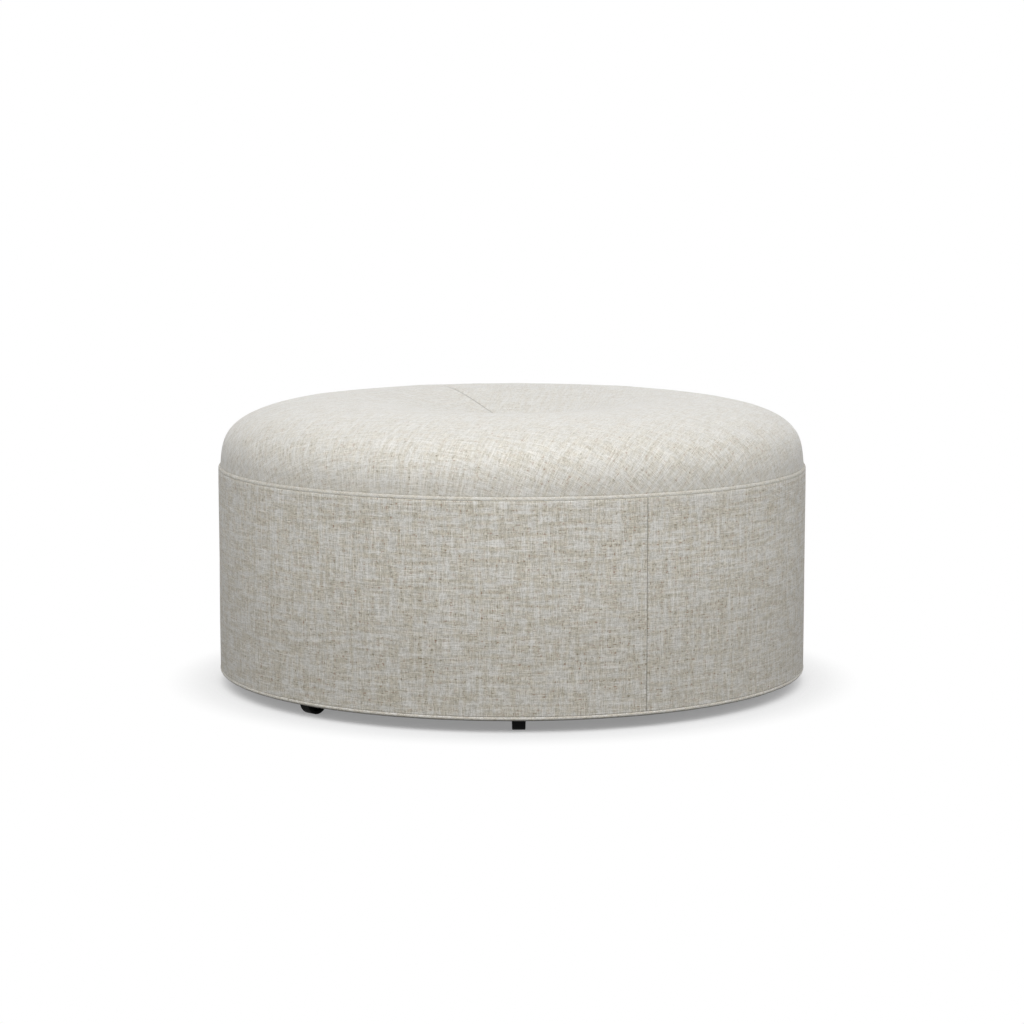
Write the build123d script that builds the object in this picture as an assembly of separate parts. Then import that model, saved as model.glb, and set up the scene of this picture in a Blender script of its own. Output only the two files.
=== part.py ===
from build123d import *
import math
import os

# Round upholstered ottoman: a drum with a crowned, hollowed top, on eight swivel casters that it hides.
# Millimetres. The origin is on the floor under its middle, +Z is up, and the front looks along -Y.

# The whole ottoman
band_radius = 495.0  # outer face of the band cloth
edge_height = 20.8  # floor to the lowest line of the bottom welt
band_height = 345.2  # lower edge to the middle of the top welt
crown_rise = 108.8  # middle of the top welt to the crest of the crown
crest_radius = 288.0  # where the crown is highest
hollow_depth = 38.5  # crest to the bottom of the hollow
crown_side_shares = ((0.981, 0.513), (0.974, 0.753), (0.534, 1.0))  # of crest to foot, of the rise
hollow_shares = ((0.634, 0.0), (0.298, 1.0))  # of the crest radius, of the hollow's depth

# Cloth, wadding and welts
cloth = 1.2
crown_wadding_thickness = 6.0
band_padding_thickness = 6.0
welt_radius = 3.5
welt_proud = 0.1  # how far the welts stand out of the band
welt_flange = 1.0  # thickness of the welt's sewn edge
top_flange_depth = 14.0
hem_depth = 15.0  # how far the bottom flange climbs inside the wall
hem_lift = 0.3  # the bottom flange lies this much above the welt's lowest line
band_seam_angle = 25.0  # right of the front, and its opposite

# Timber frame
wall_ply = 5.0
board_ply = 18.0
deck_ply = 15.0
deck_drop = 4.0  # deck top below the middle of the top welt
post_count = 8
post_width = 45.0
post_depth = 40.0
wall_joint_post_count = 2  # posts from the first to the one that carries a joint of the wall panels
wall_joint_gap = 1.5
dust_cloth = 0.8
frame_screw_length = 45.0
frame_screw_radius = 2.5
frame_screw_head_radius = 4.8
frame_screw_head = 3.0  # depth of the countersunk head
layer_gap = 0.1  # between soft layers and what is stretched over them

# Tuft tie that holds the hollow down
tie_radius = 1.5
tie_knot_radius = 4.0
tuft_washer_radius = 24.0
tuft_washer_thickness = 3.0

# Casters
caster_count = 8
first_caster_angle = 1.3  # right of the front
trail = 25.0  # pivot to axle
wheel_diameter = 41.3
wheel_width = 20.6
wheel_headroom = 3.7  # between the wheel's top and the fork's crown
tread_corner = 1.4
hub_radius = 6.5
rim_thickness = 5.0
web_thickness = 8.0
axle_radius = 3.0
axle_head_radius = 4.2
axle_head = 0.5
running_clearance = 0.05
side_gap = 0.3  # between parts that turn past each other
caster_clearance = 2.0  # between a wheel that points outwards and the hem
plate_side = 38.0
plate_corner = 4.0
plate_gauge = 2.0
race_radius = 13.0
race_depth = 2.6
thrust_washer_thickness = 0.8
fork_gauge = 1.3
fork_crown_radius = 15.0
fork_eye_radius = 7.5
fork_shoulder = 11.0  # half the length of the fork's top, along the trail
fork_bend = 1.0  # outer radius where the legs bend down from the crown
kingpin_radius = 4.0
kingpin_head_radius = 7.0
kingpin_head = 2.0
screw_spacing = 28.0
screw_radius = 2.0
screw_head_radius = 3.6
screw_head = 1.8
screw_bite = 14.0  # depth of the plate screws in the base board
# How far each caster is swivelled from pointing outwards, in degrees, anticlockwise from above
swivel_turns = (0.0, 180.0, 150.0, 35.0, 190.0, 320.0, 160.0, 0.0)

# Heights and radii that follow from the sizes above
overrun = 1.0  # how far cutting tools pass the faces that they cut
full_turn = 360.0
half_turn = 180.0
right_angle = 90.0
top_welt_height = edge_height + band_height
bottom_welt_height = edge_height + welt_radius
welt_centre_radius = band_radius + welt_proud - welt_radius
welt_inner_radius = welt_centre_radius - welt_radius
band_inner_radius = band_radius - cloth
padding_outer_radius = band_inner_radius - layer_gap
wall_outer_radius = padding_outer_radius - band_padding_thickness
wall_inner_radius = wall_outer_radius - wall_ply
wall_foot = edge_height + hem_lift + welt_flange
hem_radius = wall_inner_radius - welt_flange
deck_top = top_welt_height - deck_drop
deck_foot = deck_top - deck_ply
wadding_inset = cloth
foam_inset = cloth + crown_wadding_thickness
wheel_radius = wheel_diameter / 2
wheel_reach = math.hypot(trail + wheel_radius, wheel_width / 2)
pivot_radius = hem_radius - caster_clearance - wheel_reach
fork_top = wheel_diameter + wheel_headroom + fork_gauge
thrust_washer_foot = fork_top + side_gap
race_foot = thrust_washer_foot + thrust_washer_thickness
plate_foot = race_foot + race_depth
caster_height = plate_foot + plate_gauge  # floor to the top of the plates
board_foot = caster_height + dust_cloth
board_top = board_foot + board_ply
post_radius = wall_inner_radius - post_depth / 2
fork_inner_half = wheel_width / 2 + side_gap
fork_outer_half = fork_inner_half + fork_gauge
kingpin_head_top = fork_top - fork_gauge - side_gap
screw_offset = screw_spacing / 2


def upright(sketch):
    """A sketch of radius and height, stood up so that it can be turned round the Z axis."""
    return Plane.XZ * sketch


def turned(sketch, arc=full_turn, start=0.0):
    return Rot(0, 0, start) * revolve(upright(sketch), Axis.Z, revolution_arc=arc)


def cell(inner, outer, low, high):
    """A rectangle from one radius to another and from one height to another."""
    return Pos((inner + outer) / 2, (low + high) / 2) * Rectangle(outer - inner, high - low)


def disc(radius, low, high):
    return Pos(0, 0, low) * extrude(Circle(radius), high - low)


def cut_hole(radius, low, high):
    return disc(radius, low - overrun, high + overrun)


def front_angle(right_of_front):
    """Degrees about Z from +X, for an angle that is counted from the front towards the right."""
    return right_of_front - right_angle


def welt_circle(height, clearance=0.0):
    return Pos(welt_centre_radius, height) * Circle(welt_radius + clearance)


def welt_ring(height, clearance=0.0):
    return turned(welt_circle(height, clearance))


def crown_outline(inset):
    """The crown's line from its foot over the crest into the hollow, drawn in by the layers above it."""
    foot = welt_centre_radius - inset
    rise = crown_rise - inset
    crest = crest_radius * foot / welt_centre_radius
    depth = hollow_depth * rise / crown_rise
    base = top_welt_height
    side = [(crest + (foot - crest) * out, base + rise * up) for out, up in crown_side_shares]
    bowl = [(crest * out, base + rise - depth * down) for out, down in hollow_shares]
    over_side = Bezier((foot, base), *side, (crest, base + rise))
    over_bowl = Bezier((crest, base + rise), *bowl, (0, base + rise - depth))
    return over_side, over_bowl, foot, base + rise - depth


def crown_cover():
    outer_side, outer_bowl, outer_foot, outer_dip = crown_outline(0)
    inner_side, inner_bowl, inner_foot, inner_dip = crown_outline(wadding_inset)
    axis_line = Line((0, outer_dip), (0, inner_dip))
    foot_line = Line((inner_foot, top_welt_height), (outer_foot, top_welt_height))
    layer = make_face([outer_side, outer_bowl, axis_line, inner_bowl, inner_side, foot_line])
    return turned(layer) - welt_ring(top_welt_height)


def crown_wadding():
    outer_side, outer_bowl, outer_foot, outer_dip = crown_outline(wadding_inset)
    inner_side, inner_bowl, inner_foot, inner_dip = crown_outline(foam_inset)
    axis_line = Line((0, outer_dip), (0, inner_dip))
    foot = Polyline(
        (inner_foot, top_welt_height),
        (inner_foot, deck_top),
        (welt_inner_radius - layer_gap, deck_top),
        (welt_inner_radius - layer_gap, top_welt_height),
        (outer_foot, top_welt_height),
    )
    layer = make_face([outer_side, outer_bowl, axis_line, inner_bowl, inner_side, foot])
    tie_hole = cut_hole(tie_radius, deck_top, top_welt_height + crown_rise)
    return turned(layer) - welt_ring(top_welt_height, layer_gap) - tie_hole


def seat_foam():
    side, bowl, foot, dip = crown_outline(foam_inset)
    base = Polyline((0, dip), (0, deck_top), (foot, deck_top), (foot, top_welt_height))
    core = make_face([side, bowl, base])
    return turned(core) - cut_hole(tie_radius, deck_top, top_welt_height + crown_rise)


def tuft_tie():
    tie_foot = deck_foot - tuft_washer_thickness - tie_knot_radius
    tie_top = crown_outline(wadding_inset)[3]
    knot = Pos(0, 0, tie_foot) * Sphere(tie_knot_radius)
    under_washer = disc(tie_knot_radius + overrun, deck_foot - tuft_washer_thickness, deck_foot)
    return disc(tie_radius, tie_foot, tie_top) + (knot - under_washer)


def tuft_washer():
    low = deck_foot - tuft_washer_thickness
    return disc(tuft_washer_radius, low, deck_foot) - cut_hole(tie_radius, low, deck_foot)


def top_welt():
    """The welt with its sewn edge, which hangs down between the band cloth and its padding."""
    edge = cell(
        band_inner_radius - welt_flange,
        band_inner_radius,
        top_welt_height - top_flange_depth,
        top_welt_height,
    )
    return turned(welt_circle(top_welt_height) + edge)


def bottom_welt():
    """The welt with its sewn edge, turned under the wall and up its inner face."""
    low = edge_height + hem_lift
    under = cell(hem_radius, welt_centre_radius, low, wall_foot)
    inside = cell(hem_radius, wall_inner_radius, low, wall_foot + hem_depth)
    return turned(welt_circle(bottom_welt_height) + under + inside)


def band_panel(start):
    cloth_face = cell(band_inner_radius, band_radius, bottom_welt_height, top_welt_height)
    half_ring = turned(cloth_face, half_turn, start)
    return half_ring - welt_ring(bottom_welt_height) - welt_ring(top_welt_height)


def band_padding():
    low = bottom_welt_height + welt_radius
    flange_foot = top_welt_height - top_flange_depth
    flange_back = band_inner_radius - welt_flange - layer_gap
    body = cell(wall_outer_radius, padding_outer_radius, low, flange_foot - layer_gap)
    behind_flange = cell(wall_outer_radius, flange_back, flange_foot - layer_gap, deck_top)
    return turned(body + behind_flange)


def post_angle(number):
    half_step = full_turn / caster_count / 2
    return front_angle(first_caster_angle + half_step + number * full_turn / post_count)


def wall_panel(start):
    """Half of the bent plywood wall, short of a full half turn by the gap at its joint."""
    gap_angle = math.degrees(wall_joint_gap / wall_outer_radius)
    board = cell(wall_inner_radius, wall_outer_radius, wall_foot, deck_top)
    return turned(board, half_turn - gap_angle, start + gap_angle / 2)


def frame_posts():
    """Upright timbers between the boards, their outer faces shaped to the wall."""
    bore = disc(wall_inner_radius, board_top, deck_foot)
    blank = Pos(post_radius, 0, (board_top + deck_foot) / 2) * Box(
        post_depth, post_width, deck_foot - board_top
    )
    pilots = Pos(post_radius, 0, 0) * (deck_screw() + base_screw())
    return at_posts((blank & bore) - pilots)


def at_posts(shape):
    return [Rot(0, 0, post_angle(number)) * shape for number in range(post_count)]


def frame_screw():
    """A countersunk screw, head up, with its face at height zero."""
    outline = Polyline(
        (0, 0),
        (frame_screw_head_radius, 0),
        (frame_screw_radius, -frame_screw_head),
        (frame_screw_radius, -frame_screw_length),
        (0, -frame_screw_length),
        close=True,
    )
    return turned(make_face(outline))


def deck_screw():
    return Pos(0, 0, deck_top) * frame_screw()


def base_screw():
    return Pos(0, 0, board_foot) * mirror(frame_screw(), Plane.XY)


def post_screws(screw):
    return at_posts(Pos(post_radius, 0, 0) * screw)


def caster_places():
    """Where each caster pivots: its place under the board, turned the way that its wheel trails."""
    places = []
    for number in range(caster_count):
        outwards = front_angle(first_caster_angle + number * full_turn / caster_count)
        place = Rot(0, 0, outwards) * Pos(pivot_radius, 0, 0)
        places.append(place * Rot(0, 0, swivel_turns[number % len(swivel_turns)]))
    return places


def plate_places():
    """The plates are screwed on square to the radius, however the forks are swivelled."""
    places = []
    for number in range(caster_count):
        outwards = front_angle(first_caster_angle + number * full_turn / caster_count)
        places.append(Rot(0, 0, outwards) * Pos(pivot_radius, 0, 0))
    return places


def at_screws(shape):
    return [Pos(x, y, 0) * shape for x in (-screw_offset, screw_offset) for y in (-screw_offset, screw_offset)]


def base_board():
    board = disc(wall_inner_radius, board_foot, board_top)
    pilot = disc(screw_radius, board_foot - overrun, board_foot + screw_bite)
    pilots = [place * hole for place in plate_places() for hole in at_screws(pilot)]
    return board - pilots - post_screws(base_screw())


def dust_cover():
    sheet = disc(wall_inner_radius, caster_height, board_foot)
    hole = cut_hole(screw_radius, caster_height, board_foot)
    return sheet - [place * one for place in plate_places() for one in at_screws(hole)]


def seat_deck():
    deck = disc(wall_inner_radius, deck_foot, deck_top) - cut_hole(tie_radius, deck_foot, deck_top)
    return deck - post_screws(deck_screw())


def caster_plate():
    """A square plate with four screw holes and the raised race that the fork turns under."""
    blank = RectangleRounded(plate_side, plate_side, plate_corner)
    plate = Pos(0, 0, plate_foot) * extrude(blank, plate_gauge)
    race = disc(race_radius, race_foot, plate_foot)
    drilled = plate + race - cut_hole(kingpin_radius, race_foot, caster_height)
    return drilled - at_screws(cut_hole(screw_radius, plate_foot, caster_height))


def kingpin():
    shank = disc(kingpin_radius, kingpin_head_top, caster_height)
    return shank + disc(kingpin_head_radius, kingpin_head_top - kingpin_head, kingpin_head_top)


def thrust_washer():
    washer = disc(race_radius, thrust_washer_foot, race_foot)
    return washer - cut_hole(kingpin_radius, thrust_washer_foot, race_foot)


def plate_screw():
    head = disc(screw_head_radius, plate_foot - screw_head, plate_foot)
    return head + disc(screw_radius, plate_foot, board_foot + screw_bite)


def fork_leg(outer_face):
    """One leg, tapering from the shoulder down to the eye of the axle."""
    shoulder = Line((-fork_shoulder, fork_top), (fork_shoulder, fork_top))
    eye = Pos(trail, wheel_radius) * Circle(fork_eye_radius)
    outline = make_hull(shoulder.edges() + eye.edges())
    bored = outline - Pos(trail, wheel_radius) * Circle(axle_radius)
    return Pos(0, outer_face, 0) * extrude(Plane.XZ * bored, fork_gauge)


def caster_fork():
    crown = disc(fork_crown_radius, fork_top - fork_gauge, fork_top)
    bridge = Pos(0, 0, fork_top - fork_gauge / 2) * Box(
        2 * fork_shoulder, 2 * fork_outer_half, fork_gauge
    )
    pivot_hole = cut_hole(kingpin_radius + running_clearance, fork_top - fork_gauge, fork_top)
    legs = [fork_leg(outer_face) for outer_face in (fork_outer_half, -fork_inner_half)]
    fork = crown + bridge + legs - pivot_hole
    top_edges = fork.edges().filter_by(Axis.X).group_by(Axis.Z)[-1]
    return fillet(top_edges, fork_bend)


def across_axle(sketch):
    """A sketch of radius and width, turned round the axle."""
    return Pos(trail, 0, wheel_radius) * revolve(sketch, Axis.Y)


def caster_wheel():
    """A moulded wheel: tread with eased corners, and a recess on each side round the hub."""
    half = wheel_width / 2
    bore = axle_radius + running_clearance
    blank = Pos((bore + wheel_radius) / 2, 0) * Rectangle(wheel_radius - bore, wheel_width)
    tread_corners = blank.vertices().group_by(Axis.X)[-1]
    blank = fillet(tread_corners, tread_corner)
    recess_outer = wheel_radius - rim_thickness
    recess_depth = (wheel_width - web_thickness) / 2
    recess = Rectangle(recess_outer - hub_radius, recess_depth)
    middle = (hub_radius + recess_outer) / 2
    upper = Pos(middle, half - recess_depth / 2) * recess
    lower = Pos(middle, recess_depth / 2 - half) * recess
    return across_axle(blank - upper - lower)


def caster_axle():
    """A rivet through both legs, headed on each side."""
    span = 2 * fork_outer_half
    shank = Pos(axle_radius / 2, 0) * Rectangle(axle_radius, span)
    head = Rectangle(axle_head_radius, axle_head)
    reach = fork_outer_half + axle_head / 2
    heads = [Pos(axle_head_radius / 2, middle) * head for middle in (reach, -reach)]
    return across_axle(shank + heads)


def write(name, shapes):
    pieces = shapes if isinstance(shapes, list) else [shapes]
    solids = [solid for piece in pieces for solid in piece.solids()]
    if len(solids) == 1:
        export_step(solids[0], os.path.join("parts", name + ".step"))
    else:
        export_step(Compound(children=solids), os.path.join("parts", name + ".step"))


def main():
    os.makedirs("parts", exist_ok=True)
    seam_start = front_angle(band_seam_angle)
    joint_start = post_angle(wall_joint_post_count)
    write("crown_cover", crown_cover())
    write("crown_wadding", crown_wadding())
    write("seat_foam", seat_foam())
    write("tuft_tie", tuft_tie())
    write("tuft_washer", tuft_washer())
    write("top_welt", top_welt())
    write("bottom_welt", bottom_welt())
    write("band_panel_right", band_panel(seam_start))
    write("band_panel_left", band_panel(seam_start + half_turn))
    write("band_padding", band_padding())
    write("wall_panel_back", wall_panel(joint_start))
    write("wall_panel_front", wall_panel(joint_start + half_turn))
    write("frame_posts", frame_posts())
    write("seat_deck", seat_deck())
    write("base_board", base_board())
    write("dust_cover", dust_cover())
    write("deck_screws", post_screws(deck_screw()))
    write("base_screws", post_screws(base_screw()))
    write("caster_plates", [place * caster_plate() for place in plate_places()])
    write("kingpins", [place * kingpin() for place in plate_places()])
    write("thrust_washers", [place * thrust_washer() for place in plate_places()])
    screws = at_screws(plate_screw())
    write("plate_screws", [place * screw for place in plate_places() for screw in screws])
    for number, place in enumerate(caster_places(), start=1):
        write(f"caster_fork_{number}", place * caster_fork())
        write(f"caster_axle_{number}", place * caster_axle())
        write(f"caster_wheel_{number}", place * caster_wheel())


main()
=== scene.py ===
import math

import bmesh
import bpy
import numpy as np
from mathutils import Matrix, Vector


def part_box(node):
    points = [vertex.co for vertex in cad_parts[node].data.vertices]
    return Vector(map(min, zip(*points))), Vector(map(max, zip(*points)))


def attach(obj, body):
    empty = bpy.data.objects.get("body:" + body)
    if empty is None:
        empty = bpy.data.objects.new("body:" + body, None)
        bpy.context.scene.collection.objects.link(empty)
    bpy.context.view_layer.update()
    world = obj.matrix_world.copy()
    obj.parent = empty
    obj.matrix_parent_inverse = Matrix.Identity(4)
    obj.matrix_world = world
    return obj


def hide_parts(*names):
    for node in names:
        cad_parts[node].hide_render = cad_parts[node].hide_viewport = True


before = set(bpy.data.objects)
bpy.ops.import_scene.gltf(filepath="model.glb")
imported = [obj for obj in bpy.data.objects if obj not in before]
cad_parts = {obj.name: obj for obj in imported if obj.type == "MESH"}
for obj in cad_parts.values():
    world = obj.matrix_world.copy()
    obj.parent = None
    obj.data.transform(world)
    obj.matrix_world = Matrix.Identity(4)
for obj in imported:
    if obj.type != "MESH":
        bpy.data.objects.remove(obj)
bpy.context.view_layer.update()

# Metres throughout. The origin is on the floor under the ottoman, +Z is up, the front faces -Y.
MM = 0.001

# Sizes of the cover, read from the frame or set for the cloth
welt_radius = 3.5 * MM
cord_radius = 4.1 * MM  # the welt plumped by its cloth
welt_proud = 0.1 * MM
cloth = 1.2 * MM
band_padding = 6 * MM
top_welt_low, top_welt_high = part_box("top_welt")
bottom_welt_low, bottom_welt_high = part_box("bottom_welt")
plates_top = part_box("caster_plates")[1].z
crown_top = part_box("crown_cover")[1].z
padding_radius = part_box("band_padding")[1].x
wall_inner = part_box("seat_deck")[1].x
wall_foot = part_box("wall_panel_front")[0].z
top_welt_height = top_welt_high.z - welt_radius
bottom_welt_height = bottom_welt_low.z + welt_radius
welt_centre = top_welt_high.x - welt_radius
top_cord_centre = top_welt_high.x - cord_radius
bottom_cord_centre = top_cord_centre + 0.7 * MM
top_cord_height = top_welt_height - 3.0 * MM
bottom_cord_height = bottom_welt_low.z + cord_radius - 0.9 * MM
band_radius = top_welt_high.x - welt_proud
crown_rise = crown_top - top_welt_height
caster_circle = 432.9 * MM
crest_radius = 288 * MM
hollow_depth = 38.5 * MM
crown_side_shares = ((0.981, 0.513), (0.974, 0.753), (0.534, 1.0))
hollow_shares = ((0.634, 0.0), (0.298, 1.0))
outline_points = 400  # along each half of the crown's outline, before they are spaced

# Directions round the drum, in radians from +X, and the seams counted from the front
FRONT = -math.pi / 2
seam_right = FRONT + math.radians(25)
seam_back = seam_right + math.pi
welt_joint_bottom = FRONT + math.radians(-33.6)
welt_joint_top = FRONT + math.radians(150)


def lerp(a, b, t):
    return a + (b - a) * t


def smooth(low, high, x):
    t = np.clip((x - low) / (high - low), 0, 1)
    return t * t * (3 - 2 * t)


# Outlines

def bezier(points, count):
    """Points along a Bezier curve of any degree."""
    points = np.asarray(points, float)
    degree = len(points) - 1
    t = np.linspace(0, 1, count)[:, None]
    line = np.zeros((count, points.shape[1]))
    for i, point in enumerate(points):
        line += math.comb(degree, i) * t ** i * (1 - t) ** (degree - i) * point
    return line


def spaced(line, step):
    """The same line with points at even steps of its length."""
    lengths = np.r_[0, np.cumsum(np.linalg.norm(np.diff(line, axis=0), axis=1))]
    count = max(2, round(lengths[-1] / step) + 1)
    at = np.linspace(0, lengths[-1], count)
    return np.column_stack([np.interp(at, lengths, line[:, k]) for k in (0, 1)])


def crown_line(step):
    """Radius and height from the middle of the hollow over the crest to the welt."""
    crest = (crest_radius, top_welt_height + crown_rise)
    foot = (welt_centre, top_welt_height)
    dip = crest[1] - hollow_depth
    side = [(lerp(crest[0], foot[0], out), lerp(foot[1], crest[1], up)) for out, up in crown_side_shares]
    bowl = [(crest[0] * out, crest[1] - hollow_depth * down) for out, down in hollow_shares]
    over_bowl = bezier([crest, *bowl, (0, dip)], outline_points)[::-1]
    over_side = bezier([foot, *side, crest], outline_points)[::-1]
    return spaced(np.vstack([over_bowl, over_side[1:]]), step)


# Meshes turned round the Z axis

def angles_with_seams(count, seams, half_widths, start, sweep=2 * math.pi):
    """Even angles, with closer ones beside each seam so that its groove has its shape."""
    even = np.linspace(0, sweep, count + 1)
    middles = [(seam - start) % (2 * math.pi) for seam in seams]
    extra = [middle + side * width for middle in middles for width in half_widths for side in (-1, 1)]
    extra = [a for a in extra + middles if 0 < a < sweep]
    gap = min(half_widths) * 0.5
    keep = [a for a in even if a in (0, sweep) or all(abs(a - e) > gap for e in extra)]
    return start + np.array(sorted(set(keep) | set(extra)))


def turned_mesh(name, points, uv, wrap_rows=False, wrap_columns=True):
    """A mesh from a grid of points, rows by columns. The uv grid has one column more than a wrapped one."""
    rows, columns = points.shape[:2]
    row_pairs = rows if wrap_rows else rows - 1
    column_pairs = columns if wrap_columns else columns - 1
    row, column = np.meshgrid(np.arange(row_pairs), np.arange(column_pairs), indexing="ij")
    corner = [(row, column), (row, column + 1), (row + 1, column + 1), (row + 1, column)]
    quads = np.stack([(a % rows) * columns + b % columns for a, b in corner], -1).reshape(-1, 4)
    places = np.stack([np.stack(pair, -1) for pair in corner], -2).reshape(-1, 4, 2)
    mesh = bpy.data.meshes.new(name)
    mesh.from_pydata(points.reshape(-1, 3).tolist(), [], quads.tolist())
    layer = mesh.uv_layers.new(name="cloth")
    last = np.array(uv.shape[:2]) - 1
    at = np.minimum(places.reshape(-1, 2), last)
    layer.data.foreach_set("uv", uv[at[:, 0], at[:, 1]].ravel())
    mesh.polygons.foreach_set("use_smooth", np.ones(len(mesh.polygons), bool))
    mesh.update()
    piece = bpy.data.objects.new(name, mesh)
    bpy.context.scene.collection.objects.link(piece)
    return piece


def close_holes(piece, weld=0.01 * MM):
    """Merges doubled points at poles, caps open ends and turns every face outwards."""
    work = bmesh.new()
    work.from_mesh(piece.data)
    bmesh.ops.remove_doubles(work, verts=work.verts, dist=weld)
    bmesh.ops.dissolve_degenerate(work, edges=work.edges, dist=weld / 2)
    open_edges = [e for e in work.edges if e.is_boundary]
    if open_edges:
        caps = bmesh.ops.holes_fill(work, edges=open_edges, sides=0)["faces"]
        bmesh.ops.triangulate(work, faces=caps)
    bmesh.ops.recalc_face_normals(work, faces=work.faces)
    work.to_mesh(piece.data)
    work.free()
    piece.data.update()
    return piece


def round_grid(line, angles):
    """Points of a radius and height line turned to each angle, rows by columns."""
    out = line[:, 0][:, None]
    up = np.repeat(line[:, 1][:, None], len(angles), 1)
    return np.stack([out * np.cos(angles), out * np.sin(angles), up], -1)


def outward_of(line, angles):
    """The direction away from the surface that a line sweeps, at each row and angle."""
    slope = np.gradient(line, axis=0)
    slope /= np.linalg.norm(slope, axis=1)[:, None]
    up = np.repeat(slope[:, 0:1], len(angles), 1)
    return np.stack([-slope[:, 1:2] * np.cos(angles), -slope[:, 1:2] * np.sin(angles), up], -1)


def value_noise(u, v, seed):
    """Smooth random hills, about one per unit of u and v, from -1 to 1."""
    size = 256
    table = np.random.default_rng(seed).uniform(-1, 1, (size, size))
    cell_u, cell_v = np.floor(u).astype(int), np.floor(v).astype(int)
    share_u, share_v = smooth(0, 1, u - cell_u), smooth(0, 1, v - cell_v)
    corner = [[table[(cell_u + right) % size, (cell_v + up) % size] for right in (0, 1)] for up in (0, 1)]
    return lerp(lerp(*corner[0], share_u), lerp(*corner[1], share_u), share_v)


# Crown cushion

crown_step = 4.5 * MM
crown_columns = 480
crown_grain = FRONT + math.radians(-18)
crown_ease_share = 0.94  # how much of each turn the flat cut keeps, the rest is in its closing seam
seam_groove = 1.1 * MM
seam_width = 2.2 * MM
shoulder_place = 3.2 * seam_width  # the low swell of wadding along each side of the seam
shoulder_width = 2.4 * seam_width
shoulder_share = 0.3  # of the groove's depth
crown_foot = 3.3 * MM  # below the top welt's middle, where the crown is closed
crown_foot_inset = 3.9 * MM  # inside the welt's middle
fold_step = 9 * MM
fold_columns = 160
fold_frames = 20
fold_cap = 0.7 * MM  # height of the largest fold
fold_start = 2 * MM  # below the top welt's middle
fold_fade_middle = 50 * MM
fold_fade_edge = 30 * MM
hill_height = 0.6 * MM  # of the unevenness that the simulation starts from
hills_round = 40  # in one turn
rings_per_hill = 3
tied_middle = 20 * MM  # the tie holds the cloth within this radius
tied_edge = 12 * MM  # the welt holds it up to this height above the welt's middle


def crown_folds():
    """Cloth blown up over the crown. What differs round a ring is kept as folds, scaled down to the cap."""
    line = crown_line(fold_step)
    angles = np.linspace(0, 2 * math.pi, fold_columns, endpoint=False)
    points = round_grid(line[1:], angles)
    around = angles[None, :] / (2 * math.pi) * hills_round
    ring = np.arange(len(line) - 1)[:, None] / rings_per_hill
    points[..., 2] += hill_height * value_noise(around, ring, 5)
    cover = turned_mesh("crown_cloth_test", points, np.zeros((2, 2, 2)))
    mesh = cover.data
    start = points.reshape(-1, 3)
    radius = np.hypot(start[:, 0], start[:, 1])
    held = cover.vertex_groups.new(name="held")
    tied = (radius < tied_middle) | (start[:, 2] < top_welt_height + tied_edge)
    held.add(np.nonzero(tied)[0].tolist(), 1.0, "REPLACE")
    cloth_work = cover.modifiers.new("cloth", "CLOTH")
    settings = cloth_work.settings
    settings.vertex_group_mass = "held"
    settings.quality = 6
    settings.mass = 0.3
    settings.tension_stiffness = 12
    settings.compression_stiffness = 12
    settings.shear_stiffness = 6
    settings.bending_stiffness = 1.2
    settings.shrink_min = -0.02
    settings.use_pressure = True
    settings.uniform_pressure_force = 4
    settings.effector_weights.gravity = 0
    cloth_work.point_cache.frame_start = 1
    cloth_work.point_cache.frame_end = fold_frames
    scene = bpy.context.scene
    for number in range(1, fold_frames + 1):
        scene.frame_set(number)
    evaluated = cover.evaluated_get(bpy.context.evaluated_depsgraph_get())
    ended = np.empty(len(start) * 3)
    evaluated.data.vertices.foreach_get("co", ended)
    scene.frame_set(1)
    bpy.data.objects.remove(cover)
    bpy.data.meshes.remove(mesh)
    moved = ended.reshape(points.shape) - points
    height = (moved * outward_of(line, angles)[1:]).sum(-1)
    height -= height.mean(1, keepdims=True)
    spread = max(np.abs(height).max(), 1e-9)
    print("crown folds reach", round(spread / MM, 2), "mm before they are scaled down")
    return height * min(1.0, fold_cap / spread)


def crown_heights(rows, angles):
    """The folds, read at each row of the fine grid and at each angle."""
    coarse = crown_folds()
    last_row, columns = coarse.shape[0] - 1, coarse.shape[1]
    row = np.linspace(0, last_row, rows)
    column = (angles % (2 * math.pi)) / (2 * math.pi) * columns
    inner = np.floor(row).astype(int)
    outer = np.minimum(inner + 1, last_row)
    before = np.floor(column).astype(int) % columns
    after = (before + 1) % columns
    down, along = (row - inner)[:, None], (column - np.floor(column))[None, :]
    upper = lerp(coarse[np.ix_(inner, before)], coarse[np.ix_(inner, after)], along)
    lower = lerp(coarse[np.ix_(outer, before)], coarse[np.ix_(outer, after)], along)
    return lerp(upper, lower, down)


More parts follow.
